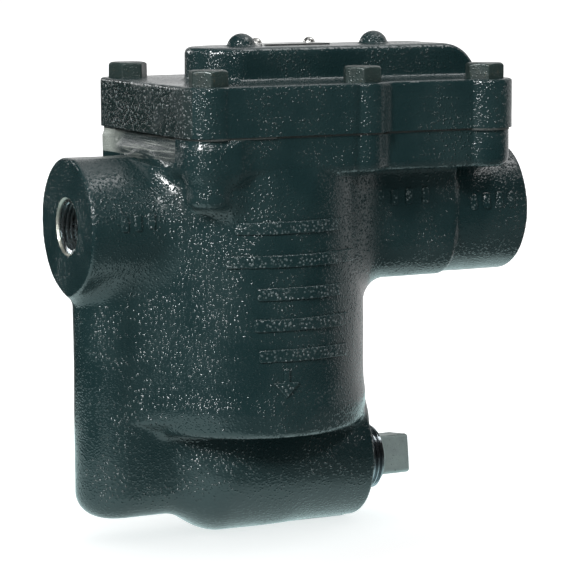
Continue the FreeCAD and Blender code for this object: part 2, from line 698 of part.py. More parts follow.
NODES = {
    "body": body,
    "cap": cap,
    "cap_gasket": cap_gasket,
    "cap_bolts": cap_bolts,
    "nameplate": nameplate,
    "nameplate_screws": nameplate_screws,
    "strainer_plug": strainer_plug,
    "strainer_screen": strainer_screen,
    "inlet_tube": inlet_tube,
    "valve_seat": valve_seat,
    "seat_gasket": seat_gasket,
    "lever_bracket": lever_bracket,
    "bracket_screws": bracket_screws,
    "fulcrum_pin": fulcrum_pin,
    "pin_retainer": pin_retainer,
    "lever_arm": lever_arm,
    "valve_head": valve_head,
    "bucket": bucket,
    "bucket_clip": bucket_clip,
    "clip_rivets": clip_rivets,
    "bucket_bail": bucket_bail,
    "bucket_weight": bucket_weight,
}

os.makedirs("parts", exist_ok=True)
for node, make in NODES.items():
    shape = make()
    shape.exportStep("parts/" + node + ".step")
    print(node, len(shape.Solids), shape.isValid(), round(shape.Volume, 1), shape.BoundBox)
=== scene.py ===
import math

import bmesh
import bpy
import numpy as np
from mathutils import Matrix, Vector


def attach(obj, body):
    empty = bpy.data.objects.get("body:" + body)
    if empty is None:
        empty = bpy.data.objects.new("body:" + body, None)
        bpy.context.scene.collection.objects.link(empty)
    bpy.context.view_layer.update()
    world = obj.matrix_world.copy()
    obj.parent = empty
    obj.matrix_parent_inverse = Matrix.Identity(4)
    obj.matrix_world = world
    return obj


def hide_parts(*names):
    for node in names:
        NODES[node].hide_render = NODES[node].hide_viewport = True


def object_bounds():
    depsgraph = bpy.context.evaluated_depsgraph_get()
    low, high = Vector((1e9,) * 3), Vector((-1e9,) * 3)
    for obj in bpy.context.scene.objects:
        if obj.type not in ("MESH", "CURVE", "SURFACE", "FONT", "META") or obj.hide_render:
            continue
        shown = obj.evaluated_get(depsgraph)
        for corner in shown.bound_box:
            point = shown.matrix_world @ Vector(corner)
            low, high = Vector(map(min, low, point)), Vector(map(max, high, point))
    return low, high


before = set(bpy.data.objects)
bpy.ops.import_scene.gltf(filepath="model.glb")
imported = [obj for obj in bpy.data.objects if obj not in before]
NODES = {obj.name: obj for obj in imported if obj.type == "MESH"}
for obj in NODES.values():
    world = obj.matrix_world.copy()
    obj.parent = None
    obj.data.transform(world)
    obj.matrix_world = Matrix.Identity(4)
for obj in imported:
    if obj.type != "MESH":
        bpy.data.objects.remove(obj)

import openvdb
from mathutils import Matrix, Vector

CAD_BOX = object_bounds()
MM = 0.001

# ---------------------------------------------------------------- sizes, in millimetres
X = (1, 0, 0)
Z = (0, 0, 1)

# Ports
FACE_TO_FACE = 191.0
BOSS_R = 26.6
PORT_MOUTH_R = 11.3
PORT_R = 9.2
PORT_BORE_END = 19.2

# Body casting
CHAMBER_X = 75.2
CHAMBER_R = 47.6
CHAMBER_BORE_R = 37.5
CHAMBER_BOTTOM = -81.4
CHAMBER_FLOOR = -75
COLUMN_X = 19.2
COLUMN_R = 16.0
COLUMN_BORE_R = 8.5
COLUMN_BOTTOM = -114.9
STRAINER_Z = -97.8
STRAINER_R = 26.2
STRAINER_START = 48.4
STRAINER_END = 120.8
STRAINER_BORE_R = 15.0
SCREEN_SEAT_X = 38
FOOT_X = 91
FOOT_HALVES = (27, 4.5)
BLOCK_END = 158.0
BLOCK_HALF = 27.2
BLOCK_BOTTOM = -26.1
DROP_X = 137
DROP_R = 10.0
BODY_TOP = 34.5
BODY_INSET = 1.2
FLANGE_BOTTOM = 19.7
LEFT_BOSS_BOTTOM = 8.6
NOTCH_X = 34.2
NOTCH_Z = 26.2
NOTCH_HALF = 29

# Cap casting
CAP_BOTTOM = 35.3
CAP_TOP = 54.6
CAP_LEFT = 31.5
CAP_RIGHT = 173.8
CAP_HALF = 48.7
LOBE_R = 10.0
RIDGE_TOP = 67.6
RIDGE_HALF = 17.2
RIDGE_LEFT_X = 69.0
RIDGE_NOSE_X = 157.0
RIDGE_REACH = 15.8
BUMP_XS = (74.8, 133.6)
BUMP_R = 5.9
VALVE_X = 62

# Cap screws
BOLT_XS = (42.6, 108.0, 162.8)
BOLT_Y = 38.7
BOLT_TURNS = (-15.5, 20.0, -22.0, 27.0, -18.0, 12.0)
BOLT_PLACES = [(x, y) for x in BOLT_XS for y in (-BOLT_Y, BOLT_Y)]
BOLT_R = 4.7
BOLT_HEAD_H = 6.1
BOLT_HALF_FLATS = 6.95

# Strainer plug
PLUG_Z = -101.0
PLUG_START = 107.0
PLUG_END = 146.4
PLUG_HALF_SQUARE = 7.95
PLUG_HOLE_R = 13.38
PLUG_ROOT_R = 12.3
THREAD_PITCH = 1.814

# Blank raised marks on the front: bars as (middle x, half length, z), pads as (x, z)
BARS = ((74.0, 22.5, 0.5), (76.3, 28.0, -12.3), (78.0, 18.5, -24.9), (79.4, 21.0, -36.9), (79.9, 20.0, -48.7))
MARKS = (
    (13, 3), (18.5, 3), (24, 3.5),
    (122, 7.6), (128.5, 7.8), (135, 7.9), (142.5, 8),
    (165.5, 4), (171.5, 4.4), (177.5, 4.5), (183, 4.2),
)


# ---------------------------------------------------------------- signed distance tools
class Field:
    """A box of sample points, split into its three axes for cheap broadcasting."""

    def __init__(self, low, high, step):
        self.step = step
        self.low = np.array(low, np.float32)
        n = [int(math.ceil((b - a) / step)) + 1 for a, b in zip(low, high)]
        axes = [low[i] + step * np.arange(n[i], dtype=np.float32) for i in range(3)]
        self.x = axes[0][:, None, None].astype(np.float32)
        self.y = axes[1][None, :, None].astype(np.float32)
        self.z = axes[2][None, None, :].astype(np.float32)
        self.shape = tuple(n)

    def noise(self, wavelength, seed):
        """Smooth random field between about -1 and 1."""
        rng = np.random.default_rng(seed)
        weights = []
        for axis in (self.x, self.y, self.z):
            t = (axis.ravel() - axis.min()) / wavelength
            i = np.floor(t).astype(int)
            f = (t - i).astype(np.float32)
            w = np.zeros((t.size, i.max() + 4), np.float32)
            rows = np.arange(t.size)
            w[rows, i] = (1 - f) ** 3 / 6
            w[rows, i + 1] = (3 * f ** 3 - 6 * f ** 2 + 4) / 6
            w[rows, i + 2] = (-3 * f ** 3 + 3 * f ** 2 + 3 * f + 1) / 6
            w[rows, i + 3] = f ** 3 / 6
            weights.append(w)
        grid = rng.uniform(-1, 1, [w.shape[1] for w in weights]).astype(np.float32)
        out = np.tensordot(weights[0], grid, (1, 0))
        out = np.tensordot(out, weights[1], (1, 1))
        out = np.tensordot(out, weights[2], (1, 1))
        return out * 2.2

    def mesh(self, d, name):
        """Polygon mesh of the field's zero surface."""
        band = 3 * self.step
        grid = openvdb.FloatGrid()
        grid.background = band
        grid.copyFromArray(np.clip(np.broadcast_to(d, self.shape), -band, band).astype(np.float32))
        points, quads = grid.convertToQuads(0.0)
        points = points * self.step + self.low
        mesh = bpy.data.meshes.new(name)
        mesh.from_pydata((points * MM).tolist(), [], quads.tolist())
        mesh.update()
        return bpy.data.objects.new(name, mesh)


def rounded(a, b, r):
    """Inside both a and b, with the edge between them rounded to r."""
    if r <= 0:
        return np.maximum(a, b)
    a = a + r
    b = b + r
    return np.minimum(np.maximum(a, b), 0) + np.hypot(np.maximum(a, 0), np.maximum(b, 0)) - r


def join(a, b, r):
    """Union of a and b with a fillet of radius r where they meet."""
    u = np.maximum(r - a, 0)
    v = np.maximum(r - b, 0)
    return np.maximum(r, np.minimum(a, b)) - np.hypot(u, v)


def between(v, low, high):
    return np.maximum(low - v, v - high)


def disc(f, x, y, r):
    return np.hypot(f.x - x, f.y - y) - r


def rect(u, v, half_u, half_v, r=0):
    return rounded(np.abs(u) - half_u, np.abs(v) - half_v, r)


def in_box(f, d):
    """Keep a casting inside the part's overall sizes."""
    gap = 0.02
    ends = between(f.x, gap, FACE_TO_FACE - gap)
    below = STRAINER_Z - STRAINER_R + gap - f.z
    return np.maximum(np.maximum(d, ends), np.maximum(np.abs(f.y) - 48.68, below))


def flange_plan(f, inset, blend):
    """Plan of the lobed flange."""
    left = CAP_LEFT + inset
    right = CAP_RIGHT - inset
    first, middle, last = BOLT_XS
    wide = CAP_HALF - 0.8 - inset
    narrow = CAP_HALF - 4.2 - inset
    lobe = LOBE_R - inset
    wide_part = rect(f.x - (left + middle) / 2, f.y, (middle - left) / 2, wide, 9)
    narrow_part = rect(f.x - (middle + right) / 2 + 6, f.y, (right - middle) / 2 + 6, narrow, 9)
    for y in (-BOLT_Y, BOLT_Y):
        wide_part = np.minimum(wide_part, disc(f, left + LOBE_R - inset, y, lobe))
        wide_part = np.minimum(wide_part, disc(f, first, y, lobe))
        wide_part = np.minimum(wide_part, disc(f, middle, y, lobe))
        narrow_part = np.minimum(narrow_part, disc(f, right - LOBE_R + inset, y, lobe))
        narrow_part = np.minimum(narrow_part, disc(f, last, y, lobe))
    core = rect(f.x - (left + right) / 2, f.y, (right - left) / 2, BOLT_Y, 0)
    return np.minimum(join(wide_part, narrow_part, blend), core)


# ---------------------------------------------------------------- body casting
def chamber_shape(f):
    """Bucket chamber: a barrel with a flared lower edge and slightly flattened sides."""
    barrel = disc(f, CHAMBER_X, 0, CHAMBER_R)
    flare = 0.9 * np.exp(-((f.z + 71) / 5.5) ** 2)
    chamber = rounded(barrel - flare, CHAMBER_BOTTOM - f.z, 3.6)
    chamber = np.maximum(chamber, f.z - 22)
    return np.maximum(chamber, np.abs(f.y) - 46.7 - np.clip((20 - f.z) * 0.06, 0, 1.2))


def column_shape(f):
    across = np.maximum(np.abs(f.x - (COLUMN_X + 30)) - 30, 0)
    stadium = np.hypot(across, f.y) - COLUMN_R
    return np.maximum(rounded(stadium, COLUMN_BOTTOM - f.z, 10), f.z - 4)


def strainer_shape(f):
    """Strainer boss with a narrow flat foot under it."""
    tube = np.hypot(f.y, f.z - STRAINER_Z) - STRAINER_R
    boss = np.maximum(rounded(tube, STRAINER_START - f.x, 12), rounded(tube, f.x - STRAINER_END, 1.4))
    pad = rect(f.x - FOOT_X, f.y, *FOOT_HALVES, 3)
    foot = np.maximum(pad, between(f.z, STRAINER_Z - STRAINER_R, STRAINER_Z))
    return join(boss, foot, 2)


def block_shape(f):
    section = rounded(np.abs(f.y) - BLOCK_HALF, BLOCK_BOTTOM - f.z, 17)
    block = rounded(section, f.x - BLOCK_END, 2.6)
    return np.maximum(block, np.maximum(CHAMBER_X - f.x, f.z - 25))


def body_field():
    f = Field((-3, -53, -127), (194, 53, 38), 0.8)
    x, y, z = f.x, f.y, f.z
    chamber = chamber_shape(f)
    column = column_shape(f)

    lower = join(column, strainer_shape(f), 13)
    d = join(chamber, lower, 3.5 + 2.5 * np.clip((x - 92) / 16, 0, 1))
    side = join(chamber, column, 13)
    d = np.where(z > -76, np.minimum(side, d), np.minimum(d, side + np.maximum(0, -76 - z)))
    d = join(d, block_shape(f), 10)

    boss = np.hypot(y, z) - BOSS_R
    inlet = np.maximum(rounded(boss, -x, 0.9), x - 40)
    outlet = np.maximum(rounded(boss, x - FACE_TO_FACE, 0.9), 150 - x)
    d = np.where(z < -23, np.minimum(d, outlet), join(d, outlet, 1.6))
    d = join(d, inlet, 6)

    plan = flange_plan(f, BODY_INSET, 3)
    flange = np.maximum(rounded(plan, FLANGE_BOTTOM - z, 4.0), z - 37)
    d = join(d, flange, 0.3 + 3.2 * np.clip((46 - np.abs(y)) / 8, 0, 1))
    for s in (-BOLT_Y, BOLT_Y):
        pin = rounded(disc(f, BOLT_XS[0], s, 8.8), LEFT_BOSS_BOTTOM - z, 3.0)
        d = join(d, np.maximum(pin, z - 30), 4 + 6 * np.clip((x - 43) / 8, 0, 1))

    notch = rounded(x - NOTCH_X, NOTCH_Z - z, 6.5)
    notch = np.maximum(notch, np.abs(y) - NOTCH_HALF)
    d = np.maximum(d, -notch)

    d = d + 0.10 * f.noise(9.0, 11) + 0.05 * f.noise(3.2, 12)
    return f, in_box(f, d)


def relief_field():
    """Blank bars and an arrow, raised 0.85 from the front of the chamber, with soft edges."""
    f = Field((42, -49.5, -67), (108, -33, 4), 0.28)
    barrel = disc(f, CHAMBER_X, 0, CHAMBER_R)
    plan = np.full(f.shape, 50.0, np.float32)
    for middle, half, height in BARS:
        plan = np.minimum(plan, rect(f.x - middle, f.z - height, half, 2.4, 0.9))
    arrow_x, half_width, length = 70.6, 5.6, 6.3
    shaft = rect(f.x - arrow_x, f.z + 57.5, 1.1, 3.6, 0.4)
    slope = math.hypot(half_width, length)
    lean = (np.abs(f.x - arrow_x) * length - (f.z + 65.2) * half_width) / slope
    head = rounded(lean, f.z + 59.1, 0.5)
    plan = np.minimum(plan, join(shaft, head, 0.6))
    d = rounded(plan, barrel - 0.85, 0.35)
    d = np.maximum(d, -1.2 - barrel)
    d = np.maximum(d, f.y + 35)
    d = d + 0.12 * f.noise(4.0, 61) + 0.10 * f.noise(1.7, 62)
    return f, d


def marks_field():
    """Small blank pads, raised 0.6 from the block and both port bosses."""
    f = Field((8, -29, -5), (190, -22, 15), 0.3)
    boss = np.hypot(f.y, f.z) - BOSS_R
    base = np.where((f.x > 100) & (f.x < BLOCK_END), -BLOCK_HALF - f.y, boss)
    plan = np.full(f.shape, 50.0, np.float32)
    for middle, height in MARKS:
        plan = np.minimum(plan, rect(f.x - middle, f.z - height, 1.5, 3.2, 0.9))
    d = rounded(plan, base - 0.6, 0.3)
    d = np.maximum(d, -1.2 - base)
    d = d + 0.12 * f.noise(4.0, 71) + 0.10 * f.noise(1.7, 72)
    return f, d


# ---------------------------------------------------------------- cap casting
def cap_field():
    f = Field((28, -51, 33), (177, 51, 76), 0.7)
    x, y, z = f.x, f.y, f.z
    plan = flange_plan(f, 0, 2.5)
    plate = np.maximum(rounded(plan, z - CAP_TOP, 1.1), 34 - z)
    stadium = np.hypot(np.maximum(RIDGE_LEFT_X - x, 0), y) - RIDGE_HALF
    height = RIDGE_TOP - CAP_TOP
    bend = (RIDGE_REACH ** 2 + height ** 2) / (2 * height)
    arc = np.hypot(np.maximum(x - RIDGE_NOSE_X, 0), z - (RIDGE_TOP - bend)) - bend
    top = np.where(x > RIDGE_NOSE_X, arc, z - RIDGE_TOP)
    ridge = rounded(stadium, top, 2.6)
    ridge = np.maximum(ridge, 50 - z)
    d = join(plate, ridge, 1.6)
    for bump_x in BUMP_XS:
        ball = np.sqrt((x - bump_x) ** 2 + y ** 2 + (z - RIDGE_TOP + 0.8) ** 2) - BUMP_R
        d = join(d, ball, 0.8)
    d = d + 0.07 * f.noise(8.0, 21) + 0.035 * f.noise(3.0, 22)
    return f, in_box(f, d)


# ---------------------------------------------------------------- cutters
def lathe(profile, origin, axis, name, segments=96):
    """Closed surface of revolution from (distance along axis, radius) pairs."""
    bm = bmesh.new()
    rings = []
    for along, r in profile:
        if r <= 0:
            rings.append([bm.verts.new((0, 0, along))])
            continue
        ring = []
        for k in range(segments):
            a = 2 * math.pi * k / segments
            ring.append(bm.verts.new((r * math.cos(a), r * math.sin(a), along)))
        rings.append(ring)
    for low, high in zip(rings, rings[1:]):
        if len(low) == 1 and len(high) == 1:
            continue
        for k in range(segments):
            j = (k + 1) % segments
            if len(low) == 1:
                bm.faces.new((low[0], high[j], high[k]))
            elif len(high) == 1:
                bm.faces.new((low[k], low[j], high[0]))
            else:
                bm.faces.new((low[k], low[j], high[j], high[k]))
    bmesh.ops.recalc_face_normals(bm, faces=bm.faces)
    turn = Vector((0, 0, 1)).rotation_difference(Vector(axis)).to_matrix().to_4x4()
    bm.transform(Matrix.Scale(MM, 4) @ Matrix.Translation(Vector(origin)) @ turn)
    mesh = bpy.data.meshes.new(name)
    bm.to_mesh(mesh)
    bm.free()
    return bpy.data.objects.new(name, mesh)


def rod(r, low, high, origin, axis):
    return lathe([(low, 0), (low, r), (high, r), (high, 0)], origin, axis, "cutter")


def block_mesh(x0, x1, y0, y1, z0, z1):
    bm = bmesh.new()
    bmesh.ops.create_cube(bm, size=1)
    size = Matrix.Diagonal((x1 - x0, y1 - y0, z1 - z0, 1))
    centre = Matrix.Translation(((x0 + x1) / 2, (y0 + y1) / 2, (z0 + z1) / 2))
    bm.transform(Matrix.Scale(MM, 4) @ centre @ size)
    mesh = bpy.data.meshes.new("cutter")
    bm.to_mesh(mesh)
    bm.free()
    return bpy.data.objects.new("cutter", mesh)


def link(obj):
    bpy.context.scene.collection.objects.link(obj)
    return obj


def carve(obj, cutters):
    """Cut each cutter out of obj and apply the result."""
    link(obj)
    for cutter in cutters:
        link(cutter)
        mod = obj.modifiers.new("cut", "BOOLEAN")
        mod.operation = "DIFFERENCE"
        mod.solver = "MANIFOLD"
        mod.object = cutter
    depsgraph = bpy.context.evaluated_depsgraph_get()
    done = bpy.data.meshes.new_from_object(obj.evaluated_get(depsgraph))
    obj.modifiers.clear()
    old = obj.data
    obj.data = done
    bpy.data.meshes.remove(old)
    for cutter in cutters:
        bpy.data.objects.remove(cutter)
    return obj


def smooth(obj, angle=35):
    for p in obj.data.polygons:
        p.use_smooth = True
    bpy.context.view_layer.objects.active = obj
    obj.select_set(True)
    bpy.ops.object.shade_smooth_by_angle(angle=math.radians(angle))
    obj.select_set(False)


# ---------------------------------------------------------------- castings and relief
def body_cutters():
    """The body's joint face, ports, passages, plug hole and screw holes."""
    port = [
        (-3, 0), (-3, PORT_MOUTH_R), (0, PORT_MOUTH_R), (0.7, 10.7),
        (17, 10.5), (18.5, PORT_R), (PORT_BORE_END, PORT_R), (PORT_BORE_END, 0),
    ]
    plug_hole = [(107, 0), (107, PLUG_HOLE_R), (120.2, PLUG_HOLE_R), (122, 15.0), (122, 0)]
    cutters = [
        block_mesh(-20, 220, -80, 80, BODY_TOP, 60),
        rod(CHAMBER_BORE_R, CHAMBER_FLOOR, BODY_TOP + 2, (CHAMBER_X, 0, 0), Z),
        lathe(port, (0, 0, 0), X, "cutter"),
        lathe(port, (FACE_TO_FACE, 0, 0), (-1, 0, 0), "cutter"),
        rod(COLUMN_BORE_R, PLUG_Z - 8.5, 0, (COLUMN_X, 0, 0), Z),
        rod(8.6, COLUMN_X, SCREEN_SEAT_X + 1, (0, 0, PLUG_Z), X),
        rod(11.65, SCREEN_SEAT_X, 50, (0, 0, PLUG_Z), X),
        rod(STRAINER_BORE_R, STRAINER_START, 108, (0, 0, PLUG_Z), X),
        lathe(plug_hole, (0, 0, PLUG_Z), X, "cutter"),
        rod(7.05, PLUG_Z, -74, (CHAMBER_X, 0, 0), Z),
        rod(DROP_R, -PORT_R, BODY_TOP + 2.5, (DROP_X, 0, 0), Z),
        rod(PORT_R, DROP_X, 172, (0, 0, 0), X),
    ]
    for x, y in BOLT_PLACES:
        cutters.append(rod(4.9, 21.8, BODY_TOP + 2.7, (x, y, 0), Z))
    return cutters


def cap_cutters():
    """The cap's joint face, drop hole, seat hole and screw holes."""
    cutters = [
        block_mesh(0, 220, -80, 80, 20, CAP_BOTTOM),
        rod(DROP_R, 30, 45, (DROP_X, 0, 0), Z),
        rod(5.6, 30, 45, (VALVE_X, 0, 0), Z),
    ]
    for x, y in BOLT_PLACES:
        cutters.append(rod(5.2, 30, 60, (x, y, 0), Z))
    return cutters


f, d = body_field()
body = f.mesh(d, "trap_body_casting")
del d
carve(body, body_cutters())
smooth(body)
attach(body, "trap")
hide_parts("body")

reliefs = []
for name, field in (("front_relief", relief_field), ("front_marks", marks_field)):
    f, d = field()
    relief = link(f.mesh(d, name))
    smooth(relief, 60)
    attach(relief, "trap")
    reliefs.append(relief)

f, d = cap_field()
cap = f.mesh(d, "trap_cap_casting")
del d
carve(cap, cap_cutters())
smooth(cap)
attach(cap, "trap")
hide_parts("cap")


# ---------------------------------------------------------------- threads, plug and bolts
def helix(low_r, high_r, start, end, wall, origin, axis, name, taper=0.0):
    """Sleeve whose face is a helical thread between two radii. wall is the radius of its plain side."""
    rows_per_turn, m = 10, 96
    shape = [0.0, 0.0, 0.35, 0.75, 1.0, 1.0, 1.0, 0.75, 0.35, 0.0]
    step = THREAD_PITCH / rows_per_turn
    rows = int((end - start + 2 * THREAD_PITCH) / step) + 2
    bm = bmesh.new()
    grid = []
    for i in range(rows):
        row = []
        for j in range(m):
            x = start - THREAD_PITCH + step * i + THREAD_PITCH * j / m
            level = shape[i % rows_per_turn]
            inside = min(max(x, start), end)
            if x != inside:
                level = 0.0
            r = low_r + (high_r - low_r) * level + taper * (inside - start)
            a = 2 * math.pi * j / m
            row.append(bm.verts.new((r * math.cos(a), r * math.sin(a), inside)))
        grid.append(row)
    for i in range(rows - 1):
        for j in range(m - 1):
            bm.faces.new((grid[i][j], grid[i + 1][j], grid[i + 1][j + 1], grid[i][j + 1]))
        if i + 1 + rows_per_turn < rows:
            k = i + rows_per_turn
            bm.faces.new((grid[i][m - 1], grid[i + 1][m - 1], grid[k + 1][0], grid[k][0]))
    bmesh.ops.remove_doubles(bm, verts=bm.verts, dist=1e-4)
    bmesh.ops.dissolve_degenerate(bm, edges=bm.edges, dist=1e-4)
    rings = []
    for along in (start, end):
        for r in (low_r + taper * (along - start), wall):
            if r <= 0:
                continue
            ring = []
            for j in range(m):
                a = 2 * math.pi * j / m
                ring.append(bm.verts.new((r * math.cos(a), r * math.sin(a), along)))
            rings.append(ring)
    if wall > 0:
        for one, two in ((0, 1), (1, 3), (3, 2)):
            for j in range(m):
                k = (j + 1) % m
                bm.faces.new((rings[one][j], rings[two][j], rings[two][k], rings[one][k]))
    else:
        for ring in rings:
            bm.faces.new(ring)
    bmesh.ops.remove_doubles(bm, verts=bm.verts, dist=1e-4)
    bmesh.ops.recalc_face_normals(bm, faces=bm.faces)
    turn = Vector((0, 0, 1)).rotation_difference(Vector(axis)).to_matrix().to_4x4()
    bm.transform(Matrix.Scale(MM, 4) @ Matrix.Translation(Vector(origin)) @ turn)
    mesh = bpy.data.meshes.new(name)
    bm.to_mesh(mesh)
    bm.free()
    return link(bpy.data.objects.new(name, mesh))


def merge(objects, name):
    """One object made of the meshes of several."""
    bm = bmesh.new()
    for obj in objects:
        bm.from_mesh(obj.data)
        bpy.data.objects.remove(obj)
    mesh = bpy.data.meshes.new(name)
    bm.to_mesh(mesh)
    bm.free()
    return link(bpy.data.objects.new(name, mesh))


def port_thread(name, origin, axis):
    sleeve = helix(10.5, 9.35, 1.0, 17.6, 10.9, origin, axis, name, -0.02)
    smooth(sleeve, 40)
    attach(sleeve, "trap")
    return sleeve


inlet_thread = port_thread("inlet_thread", (0, 0, 0), X)
outlet_thread = port_thread("outlet_thread", (FACE_TO_FACE, 0, 0), (-1, 0, 0))


def plug_head():
    f = Field((129, -10, PLUG_Z - 10), (148, 10, PLUG_Z + 10), 0.3)
    lean = math.radians(7)
    u = f.y * math.cos(lean) - (f.z - PLUG_Z) * math.sin(lean)
    v = f.y * math.sin(lean) + (f.z - PLUG_Z) * math.cos(lean)
    across = rect(u, v, PLUG_HALF_SQUARE, PLUG_HALF_SQUARE, 1.5)
    d = rounded(across, f.x - PLUG_END, 1.3)
    d = np.maximum(d, 130 - f.x)
    d = d + 0.10 * f.noise(5.0, 31) + 0.03 * f.noise(1.2, 32)
    return link(f.mesh(d, "plug_head"))


shank = helix(PLUG_ROOT_R, 13.3, PLUG_START, 131.6, 0, (0, 0, PLUG_Z), X, "plug_shank")
collar_shape = [(131.5, 0), (131.5, PLUG_ROOT_R), (132.3, PLUG_ROOT_R), (133.6, 10.9), (133.6, 0)]
collar = link(lathe(collar_shape, (0, 0, PLUG_Z), X, "collar"))
plug = merge([shank, collar, plug_head()], "trap_strainer_plug")
smooth(plug, 38)
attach(plug, "trap")
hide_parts("strainer_plug")


def bolt_head(x, y, turn, seed):
    """Hexagon head with a turned crown, softened edges and small dents."""
    f = Field((x - 9, y - 9, CAP_TOP - 1), (x + 9, y + 9, CAP_TOP + 7), 0.3)
    u = f.x - x
    v = f.y - y
    d = None
    for k in range(3):
        a = math.radians(turn + 60 * k)
        side = np.abs(u * math.cos(a) + v * math.sin(a)) - BOLT_HALF_FLATS
        d = side if d is None else rounded(d, side, 0.35)
    r = np.hypot(u, v)
    top = f.z - CAP_TOP - BOLT_HEAD_H
    crown = (r - 6.6) * 0.45 + top * 0.893
    d = rounded(d, crown, 0.4)
    d = rounded(d, top, 0.2)
    d = np.maximum(d, CAP_TOP - 0.8 - f.z)
    d = d + 0.06 * f.noise(2.6, seed) + 0.02 * f.noise(1.0, seed + 1)
    return link(f.mesh(d, "head"))


def cap_bolts():
    parts = []
    shank = [(22.7, 0), (22.7, 3.9), (23.5, BOLT_R), (CAP_TOP, BOLT_R), (CAP_TOP, 0)]
    for k, ((x, y), turn) in enumerate(zip(BOLT_PLACES, BOLT_TURNS)):
        parts.append(bolt_head(x, y, turn, 40 + 3 * k))
        parts.append(link(lathe(shank, (x, y, 0), Z, "shank", 40)))
    obj = merge(parts, "trap_cap_bolts")
    smooth(obj, 40)
    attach(obj, "trap")
    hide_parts("cap_bolts")
    return obj


bolts = cap_bolts()


# ---------------------------------------------------------------- materials
def material(name):
    m = bpy.data.materials.new(name)
    m.use_nodes = True
    nt = m.node_tree
    nt.nodes.clear()
    out = nt.nodes.new("ShaderNodeOutputMaterial")
    bsdf = nt.nodes.new("ShaderNodeBsdfPrincipled")
    nt.links.new(bsdf.outputs[0], out.inputs[0])
    return m, nt, bsdf


def node(nt, kind, **values):
    n = nt.nodes.new(kind)
    for key, value in values.items():
        if hasattr(n, key):
            setattr(n, key, value)
        else:
            n.inputs[key.replace("_", " ")].default_value = value
    return n


def noise(nt, coords, scale, detail=2.0, stretch=(1, 1, 1), rough=0.5):
    """Noise in object space. scale is features per metre."""
    mapping = node(nt, "ShaderNodeMapping")
    mapping.inputs["Scale"].default_value = stretch
    nt.links.new(coords.outputs["Object"], mapping.inputs["Vector"])
    tex = node(nt, "ShaderNodeTexNoise", Scale=float(scale), Detail=detail, Roughness=rough)
    nt.links.new(mapping.outputs[0], tex.inputs["Vector"])
    return tex.outputs["Fac"]


def remap(nt, value, a, b, c, d):
    n = node(nt, "ShaderNodeMapRange")
    for k, v in enumerate((a, b, c, d)):
        n.inputs[k + 1].default_value = v
    nt.links.new(value, n.inputs[0])
    return n.outputs[0]


def math_node(nt, operation, a, b):
    n = node(nt, "ShaderNodeMath", operation=operation)
    for k, v in enumerate((a, b)):
        if isinstance(v, (int, float)):
            n.inputs[k].default_value = v
        else:
            nt.links.new(v, n.inputs[k])
    return n.outputs[0]


def mix_colour(nt, factor, a, b):
    n = node(nt, "ShaderNodeMix", data_type="RGBA")
    nt.links.new(factor, n.inputs[0])
    for k, v in ((6, a), (7, b)):
        if isinstance(v, tuple):
            n.inputs[k].default_value = (*v, 1)
        else:
            nt.links.new(v, n.inputs[k])
    return n.outputs[2]


def pimples(nt, coords, scale, size):
    """Sparse round grains: 1 at a grain's centre, 0 between grains."""
    vor = node(nt, "ShaderNodeTexVoronoi", feature="F1", Scale=float(scale), Randomness=1.0)
    nt.links.new(coords.outputs["Object"], vor.inputs["Vector"])
    n = node(nt, "ShaderNodeMapRange", interpolation_type="SMOOTHSTEP")
    for k, v in enumerate((size, 0.0, 0.0, 1.0)):
        n.inputs[k + 1].default_value = v
    nt.links.new(vor.outputs["Distance"], n.inputs[0])
    return n.outputs[0]


def bump(nt, height, distance, normal=None, strength=1.0):
    n = node(nt, "ShaderNodeBump", Strength=strength, Distance=distance)
    nt.links.new(height, n.inputs["Height"])
    if normal is not None:
        nt.links.new(normal, n.inputs["Normal"])
    return n.outputs[0]


